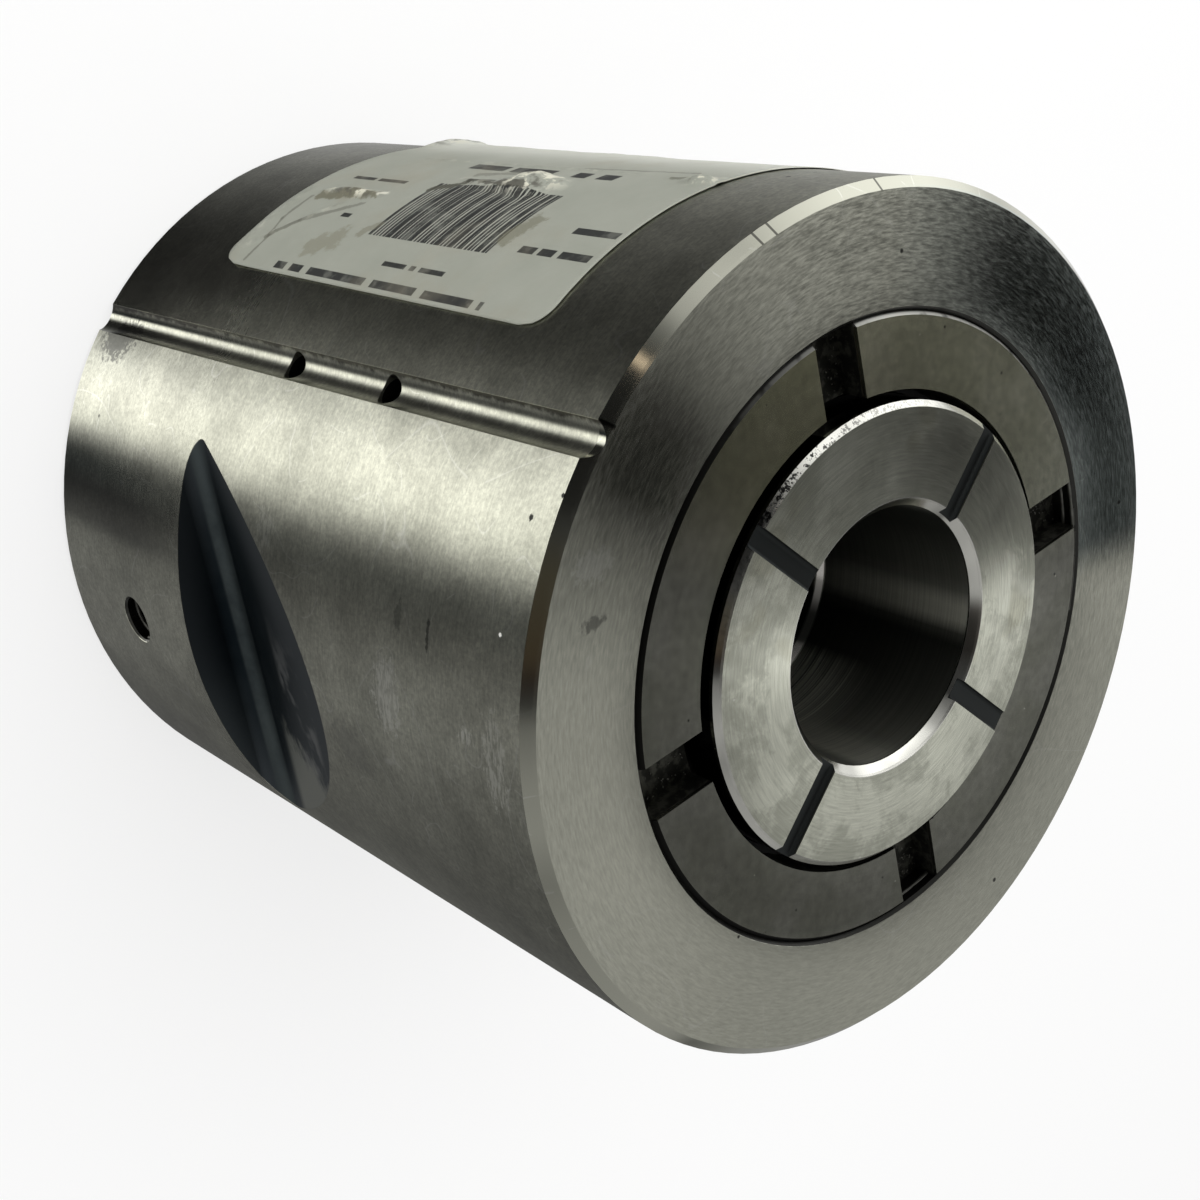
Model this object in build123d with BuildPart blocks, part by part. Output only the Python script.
from build123d import *
import os
from math import cos, degrees, radians, sin, tan

# Slip coupling for two shafts: a thick ground sleeve with a spring-loaded plate clutch inside.
# It stands on its rear end. +Z is the shaft axis, towards the ring nut, and -Y is the notch side.
# Lengths are in millimetres and angles in degrees, turned from +X towards +Y.

# Sleeve
housing_d = 150
housing_len = 160
edge_chamfer = 1.7
rear_bore_d = 45
bore_chamfer = 1.5
web_t = 8

# Oil groove along the sleeve, and the two oil holes in it
groove_angle = 225
groove_cutter_r = 3.6
groove_depth = 1.7
oil_hole_d = 5.2
bush_oil_below_shoulder = 5.5
plate_oil_above_plate = 1.5

# Notch across the sleeve: a square wall and a long ramp, joined by a round foot
notch_wall_z = 53.4
notch_depth = 11.15
notch_foot_radius = 4
notch_ramp_angle = 14.5

# Ring nut and its thread, drawn at the thread's pitch diameter
thread_pitch_d = 108.7
thread_runout = 2
thread_gap = 0.05
mouth_chamfer = 0.6
nut_len = 20
nut_lip_gap = 1.6
nut_chamfer = 0.8
nut_slot_count = 4
nut_slot_w = 9.5
nut_slot_depth = 5
nut_slot_angle = 4.6

# Hub
hub_d = 80
hub_proud = 2
hub_chamfer = 1
front_bore_d = 45
hub_groove_count = 4
hub_groove_w = 3.9
hub_groove_depth = 1
hub_groove_corner_r = 0.8
hub_groove_angle = 43.3
flange_gap = 0.5
flange_t = 8
spigot_d = 60
spline_count = 10
spline_minor_d = 72
spline_major_d = 78
spline_w = 12
spline_runout = 3
spline_gap = 0.1

# Plates: the outer ones are lugged into the sleeve, the inner ones ride on the hub's splines
inner_plate_count = 4
plate_t = 3
inner_plate_gap = 2
facing_groove_count = 16
facing_groove_w = 1.2
facing_groove_depth = 0.5
outer_plate_bore_gap = 1
pressure_plate_t = 8
plate_gap = 0.3
lug_count = 6
lug_w = 10
lug_height = 3.5
lug_gap = 0.2
lug_slot_inset = 0.85
lug_slot_runout = 2

# Disc springs
spring_count = 4
spring_t = 2.5
spring_rise = 1.25
spring_bore_gap = 1.5

# Bushes, thrust washer and seal
bush_wall = 5
bush_seat_len = 28
bush_recess = 0.5
bush_groove_w = 4
bush_groove_depth = 1
running_gap = 0.05
washer_t = 2
washer_bore_gap = 1.5
washer_gap = 0.4
guide_bush_wall = 6
guide_bush_len = 7
seal_t = 4
seal_gap = 0.3
small_chamfer = 0.6

# Set screws, drawn at their threads' pitch diameters
shaft_screw_d = 9
shaft_screw_len = 16
shaft_screw_z = 30
shaft_screw_set_back = 0.5
shaft_screw_socket = 5
shaft_screw_countersink = 0.6
lock_screw_d = 5.35
lock_screw_recess = 4.85
lock_screw_socket = 3
lock_pad_len = 3.6
lock_pad_gap = 0.2
screw_gap = 0.05
socket_depth_share = 0.4

# Paper label
label_len = 102
label_width = 76
label_t = 0.12
label_glue_t = 0.05
label_corner_r = 5
label_middle_z = 85
label_from_groove_angle = 12.2
label_skew = 1.2

# Radii
housing_r = housing_d / 2
rear_bore_r = rear_bore_d / 2
front_bore_r = front_bore_d / 2
hub_r = hub_d / 2
spigot_r = spigot_d / 2
thread_r = thread_pitch_d / 2
lug_slot_r = thread_r - lug_slot_inset
pack_bore_r = lug_slot_r - lug_height
bush_seat_r = spigot_r + running_gap + bush_wall
guide_seat_r = hub_r + running_gap + guide_bush_wall
outer_plate_r = pack_bore_r - plate_gap
outer_plate_bore_r = max(hub_r, spline_major_d / 2) + outer_plate_bore_gap
nut_bore_r = hub_r + nut_lip_gap

# Heights, worked down from the front face
nut_bottom_z = housing_len - nut_len
flange_top_z = nut_bottom_z - plate_t
flange_bottom_z = flange_top_z - flange_t
pack_bottom_z = flange_bottom_z - 2 * inner_plate_count * plate_t
pressure_plate_z = pack_bottom_z - pressure_plate_t
spring_pitch = spring_t + spring_rise
shoulder_z = pressure_plate_z - spring_count * spring_pitch
cavity_floor_z = shoulder_z - bush_seat_len
rear_bore_end_z = cavity_floor_z - web_t
hub_end_z = cavity_floor_z + washer_t
hub_top_z = housing_len + hub_proud
spline_end_z = pack_bottom_z - spline_runout
bush_oil_z = shoulder_z - bush_oil_below_shoulder
plate_oil_z = pack_bottom_z + plate_oil_above_plate
lock_screw_z = housing_len - nut_len / 2
lock_screw_angle = groove_angle - 180


def direction(angle):
    """Unit vector that points outwards from the axis at an angle."""
    return Vector(cos(radians(angle)), sin(radians(angle)), 0)


def outward_plane(angle, radius, height):
    """Plane square to the outward direction, at a radius and a height."""
    outward = direction(angle)
    return Plane(origin=outward * radius + Vector(0, 0, height), x_dir=(0, 0, 1), z_dir=outward)


def lobed_disc(core_d, tip_d, lobe_w, lobe_count):
    """Disc with straight-sided lobes around it, as splines and lugs have."""
    with BuildSketch() as section:
        with PolarLocations(tip_d / 4, lobe_count):
            Rectangle(tip_d / 2, lobe_w)
        Circle(tip_d / 2, mode=Mode.INTERSECT)
        Circle(core_d / 2)
    return section.sketch


def save(piece, name):
    """Label a finished piece and write it to its own file."""
    piece.part.label = name
    export_step(piece.part, f"parts/{name}.step")


os.makedirs("parts", exist_ok=True)

# Sleeve: turned and ground, bored from both ends, with a solid web between the two bores
with BuildPart() as housing:
    with BuildSketch(Plane.XZ):
        with BuildLine():
            Polyline(
                (0, rear_bore_end_z),
                (rear_bore_r, rear_bore_end_z),
                (rear_bore_r, bore_chamfer),
                (rear_bore_r + bore_chamfer, 0),
                (housing_r - edge_chamfer, 0),
                (housing_r, edge_chamfer),
                (housing_r, housing_len - edge_chamfer),
                (housing_r - edge_chamfer, housing_len),
                (thread_r + mouth_chamfer, housing_len),
                (thread_r, housing_len - mouth_chamfer),
                (thread_r, nut_bottom_z - thread_runout),
                (pack_bore_r, nut_bottom_z - thread_runout),
                (pack_bore_r, shoulder_z),
                (bush_seat_r, shoulder_z),
                (bush_seat_r, cavity_floor_z),
                (0, cavity_floor_z),
                close=True,
            )
        make_face()
    revolve(axis=Axis.Z)
    lug_slot_bottom_z = pressure_plate_z - lug_slot_runout
    with BuildSketch(Plane.XY.offset(lug_slot_bottom_z)):
        add(lobed_disc(2 * pack_bore_r, 2 * lug_slot_r, lug_w, lug_count))
    extrude(amount=nut_bottom_z - lug_slot_bottom_z, mode=Mode.SUBTRACT)
    # Round-bottomed groove from end to end
    with BuildSketch(Plane.XY):
        with PolarLocations(housing_r - groove_depth + groove_cutter_r, 1, start_angle=groove_angle):
            Circle(groove_cutter_r)
    extrude(amount=housing_len, mode=Mode.SUBTRACT)
    # Notch: its outline is drawn seen from the side, with its corner rounded, and cut right across
    ramp = radians(notch_ramp_angle)
    notch_corner_depth = notch_depth + notch_foot_radius * (tan(ramp) + 1 / cos(ramp) - 1)
    notch_corner_y = notch_corner_depth - housing_r
    notch_outside_y = -housing_r - notch_depth
    with BuildSketch(Plane.YZ) as notch_outline:
        with BuildLine():
            Polyline(
                (notch_outside_y, notch_wall_z),
                (notch_corner_y, notch_wall_z),
                (notch_outside_y, notch_wall_z + (notch_corner_y - notch_outside_y) / tan(ramp)),
                close=True,
            )
        make_face()
        fillet(notch_outline.vertices().sort_by(Axis.X)[-1], radius=notch_foot_radius)
    extrude(amount=housing_r, both=True, mode=Mode.SUBTRACT)
    # Set-screw hole over the rear shaft, at the notch side
    with Locations(outward_plane(-90, housing_r, shaft_screw_z)):
        CounterSinkHole(
            radius=shaft_screw_d / 2 + screw_gap,
            counter_sink_radius=shaft_screw_d / 2 + shaft_screw_countersink,
            depth=housing_r - rear_bore_r / 2,
            counter_sink_angle=90,
        )
    # Oil holes from the groove to the rear bush and to the plates
    with Locations(outward_plane(groove_angle, housing_r, bush_oil_z)):
        Hole(radius=oil_hole_d / 2, depth=housing_r - bush_seat_r + oil_hole_d)
    with Locations(outward_plane(groove_angle, housing_r, plate_oil_z)):
        Hole(radius=oil_hole_d / 2, depth=housing_r - pack_bore_r + oil_hole_d)
    # Hole for the screw that locks the ring nut, on the side away from the groove
    with Locations(outward_plane(lock_screw_angle, housing_r, lock_screw_z)):
        Hole(radius=lock_screw_d / 2 + screw_gap, depth=housing_r - thread_r + lock_screw_d)
save(housing, "housing")

# Hub: turned in one piece, with the shaft bore, flange, splines and rear spigot
with BuildPart() as hub:
    with BuildSketch(Plane.XZ):
        with BuildLine():
            Polyline(
                (front_bore_r + small_chamfer, hub_end_z),
                (spigot_r - small_chamfer, hub_end_z),
                (spigot_r, hub_end_z + small_chamfer),
                (spigot_r, spline_end_z),
                (spline_minor_d / 2, spline_end_z),
                (spline_minor_d / 2, flange_bottom_z),
                (pack_bore_r - flange_gap, flange_bottom_z),
                (pack_bore_r - flange_gap, flange_top_z),
                (hub_r, flange_top_z),
                (hub_r, hub_top_z - hub_chamfer),
                (hub_r - hub_chamfer, hub_top_z),
                (front_bore_r + bore_chamfer, hub_top_z),
                (front_bore_r, hub_top_z - bore_chamfer),
                (front_bore_r, hub_end_z + small_chamfer),
                close=True,
            )
        make_face()
    revolve(axis=Axis.Z)
    with BuildSketch(Plane.XY.offset(spline_end_z)):
        add(lobed_disc(spline_minor_d, spline_major_d, spline_w, spline_count))
        Circle(spigot_r, mode=Mode.SUBTRACT)
    extrude(amount=flange_bottom_z - spline_end_z)
    # Shallow grooves across the front face, with rounded lower corners
    for turn in range(hub_groove_count):
        angle = hub_groove_angle + turn * 360 / hub_groove_count
        with BuildSketch(outward_plane(angle, front_bore_r / 2, hub_top_z)):
            RectangleRounded(2 * hub_groove_depth, hub_groove_w, hub_groove_corner_r)
        extrude(amount=hub_r, mode=Mode.SUBTRACT)
save(hub, "hub")

# Ring nut: presses on the front plate, and is turned by a face spanner in its four slots
with BuildPart() as ring_nut:
    nut_r = thread_r - thread_gap
    guide_seat_top_z = nut_bottom_z + guide_bush_len + seal_t
    with BuildSketch(Plane.XZ):
        with BuildLine():
            Polyline(
                (guide_seat_r, nut_bottom_z),
                (nut_r - nut_chamfer, nut_bottom_z),
                (nut_r, nut_bottom_z + nut_chamfer),
                (nut_r, housing_len - nut_chamfer),
                (nut_r - nut_chamfer, housing_len),
                (nut_bore_r, housing_len),
                (nut_bore_r, guide_seat_top_z),
                (guide_seat_r, guide_seat_top_z),
                close=True,
            )
        make_face()
    revolve(axis=Axis.Z)
    with BuildSketch(Plane.XY.offset(housing_len)):
        with PolarLocations(housing_r / 2, nut_slot_count, start_angle=nut_slot_angle):
            Rectangle(housing_r, nut_slot_w)
    extrude(amount=-nut_slot_depth, mode=Mode.SUBTRACT)
save(ring_nut, "ring_nut")

# Guide bush: a bronze ring in the nut that keeps the hub's collar central
with BuildPart() as guide_bush:
    with BuildSketch(Plane.XY.offset(nut_bottom_z)):
        Circle(guide_seat_r)
        Circle(hub_r + running_gap, mode=Mode.SUBTRACT)
    extrude(amount=guide_bush_len)
save(guide_bush, "guide_bush")

# Seal ring: sits on the guide bush and keeps dirt out of the plates
with BuildPart() as seal_ring:
    with BuildSketch(Plane.XY.offset(nut_bottom_z + guide_bush_len)):
        Circle(guide_seat_r)
        Circle(hub_r + seal_gap, mode=Mode.SUBTRACT)
    extrude(amount=seal_t)
save(seal_ring, "seal_ring")

# Outer plates: plain steel, held from turning by lugs in the sleeve's slots
with BuildSketch() as outer_plate_outline:
    add(lobed_disc(2 * outer_plate_r, 2 * (lug_slot_r - plate_gap), lug_w - 2 * lug_gap, lug_count))
    Circle(outer_plate_bore_r, mode=Mode.SUBTRACT)
outer_plate_heights = [pack_bottom_z + (2 * n + 1) * plate_t for n in range(inner_plate_count)] + [flange_top_z]
for number, height in enumerate(outer_plate_heights, start=1):
    with BuildPart() as outer_plate:
        with BuildSketch(Plane.XY.offset(height)):
            add(outer_plate_outline.sketch)
        extrude(amount=plate_t)
    save(outer_plate, f"outer_plate_{number}")

# Pressure plate: a thick outer plate that spreads the springs' force
with BuildPart() as pressure_plate:
    with BuildSketch(Plane.XY.offset(pressure_plate_z)):
        add(outer_plate_outline.sketch)
    extrude(amount=pressure_plate_t)
save(pressure_plate, "pressure_plate")

# Inner plates: faced with friction lining, splined to the hub, with radial oil grooves in both facings
inner_plate_r = pack_bore_r - inner_plate_gap
for number in range(1, inner_plate_count + 1):
    plate_bottom_z = pack_bottom_z + (2 * number - 2) * plate_t
    with BuildPart() as inner_plate:
        with BuildSketch(Plane.XY.offset(plate_bottom_z)):
            Circle(inner_plate_r)
            add(
                lobed_disc(
                    spline_minor_d + 2 * spline_gap,
                    spline_major_d + 2 * spline_gap,
                    spline_w + 2 * spline_gap,
                    spline_count,
                ),
                mode=Mode.SUBTRACT,
            )
        extrude(amount=plate_t)
        with BuildSketch(Plane.XY.offset(plate_bottom_z), Plane.XY.offset(plate_bottom_z + plate_t)):
            with PolarLocations(inner_plate_r, facing_groove_count):
                Rectangle(inner_plate_r, facing_groove_w)
        extrude(amount=facing_groove_depth, both=True, mode=Mode.SUBTRACT)
    save(inner_plate, f"inner_plate_{number}")

# Disc springs: shallow cones stacked edge to edge, turned over one after the other
spring_outer_r = pack_bore_r - plate_gap
spring_bore_r = spigot_r + spring_bore_gap
for number in range(1, spring_count + 1):
    bottom_z = shoulder_z + (number - 1) * spring_pitch
    inner_lift = spring_rise * (number % 2)
    outer_lift = spring_rise - inner_lift
    with BuildPart() as disc_spring:
        with BuildSketch(Plane.XZ):
            with BuildLine():
                Polyline(
                    (spring_bore_r, bottom_z + inner_lift),
                    (spring_outer_r, bottom_z + outer_lift),
                    (spring_outer_r, bottom_z + outer_lift + spring_t),
                    (spring_bore_r, bottom_z + inner_lift + spring_t),
                    close=True,
                )
            make_face()
        revolve(axis=Axis.Z)
    save(disc_spring, f"disc_spring_{number}")

# Rear bush: pressed into the sleeve, with an oil hole that meets the sleeve's and an oil groove around its bore
with BuildPart() as rear_bush:
    with BuildSketch(Plane.XY.offset(hub_end_z)):
        Circle(bush_seat_r)
        Circle(spigot_r + running_gap, mode=Mode.SUBTRACT)
    extrude(amount=shoulder_z - bush_recess - hub_end_z)
    chamfer(rear_bush.edges().filter_by(GeomType.CIRCLE).group_by(Axis.Z)[-1], length=small_chamfer)
    with BuildSketch(Plane.XY.offset(bush_oil_z)):
        Circle(spigot_r + running_gap + bush_groove_depth)
    extrude(amount=bush_groove_w / 2, both=True, mode=Mode.SUBTRACT)
    with Locations(outward_plane(groove_angle, bush_seat_r, bush_oil_z)):
        Hole(radius=oil_hole_d / 2, depth=2 * bush_wall)
save(rear_bush, "rear_bush")

# Thrust washer: between the hub's rear end and the floor of the bore
with BuildPart() as thrust_washer:
    with BuildSketch(Plane.XY.offset(cavity_floor_z)):
        Circle(bush_seat_r - washer_gap)
        Circle(front_bore_r + washer_bore_gap, mode=Mode.SUBTRACT)
    extrude(amount=washer_t)
save(thrust_washer, "thrust_washer")

# Shaft set screw: a grub screw deep in its hole, just clear of the rear bore
shaft_screw_tip_r = rear_bore_r + shaft_screw_set_back
shaft_screw_end_r = shaft_screw_tip_r + shaft_screw_len
with BuildPart() as shaft_set_screw:
    with BuildSketch(outward_plane(-90, shaft_screw_tip_r, shaft_screw_z)):
        Circle(shaft_screw_d / 2)
    extrude(amount=shaft_screw_len)
    chamfer(shaft_set_screw.edges().filter_by(GeomType.CIRCLE), length=small_chamfer)
    with BuildSketch(outward_plane(-90, shaft_screw_end_r, shaft_screw_z)):
        RegularPolygon(radius=shaft_screw_socket / 2, side_count=6, major_radius=False)
    extrude(amount=-shaft_screw_len * socket_depth_share, mode=Mode.SUBTRACT)
save(shaft_set_screw, "shaft_set_screw")

# Lock pad: soft brass between the lock screw and the nut's thread
lock_pad_tip_r = thread_r + lock_pad_gap
lock_pad_end_r = lock_pad_tip_r + lock_pad_len
with BuildPart() as lock_pad:
    with BuildSketch(outward_plane(lock_screw_angle, lock_pad_tip_r, lock_screw_z)):
        Circle(lock_screw_d / 2)
    extrude(amount=lock_pad_len)
save(lock_pad, "lock_pad")

# Lock screw: a grub screw that presses the pad on the ring nut
lock_screw_len = housing_r - lock_screw_recess - lock_pad_end_r
lock_screw_end_r = lock_pad_end_r + lock_screw_len
with BuildPart() as lock_screw:
    with BuildSketch(outward_plane(lock_screw_angle, lock_pad_end_r, lock_screw_z)):
        Circle(lock_screw_d / 2)
    extrude(amount=lock_screw_len)
    with BuildSketch(outward_plane(lock_screw_angle, lock_screw_end_r, lock_screw_z)):
        RegularPolygon(radius=lock_screw_socket / 2, side_count=6, major_radius=False)
    extrude(amount=-lock_screw_len * socket_depth_share, mode=Mode.SUBTRACT)
save(lock_screw, "lock_screw")

# Paper label: a thin sheet wrapped on the sleeve beside the groove
label_r = housing_r + label_glue_t
label_half_angle = degrees(label_width / label_r) / 2
label_angle = groove_angle - label_from_groove_angle - label_half_angle
label_chord = 2 * label_r * sin(radians(label_half_angle))
with BuildPart() as paper_label:
    with BuildSketch(Plane.XY.offset(label_middle_z - label_len)):
        Circle(label_r + label_t)
        Circle(label_r, mode=Mode.SUBTRACT)
    extrude(amount=2 * label_len)
    with BuildSketch(outward_plane(label_angle, 0, label_middle_z)):
        RectangleRounded(label_len, label_chord, label_corner_r, rotation=label_skew)
    extrude(amount=housing_d, mode=Mode.INTERSECT)
save(paper_label, "paper_label")
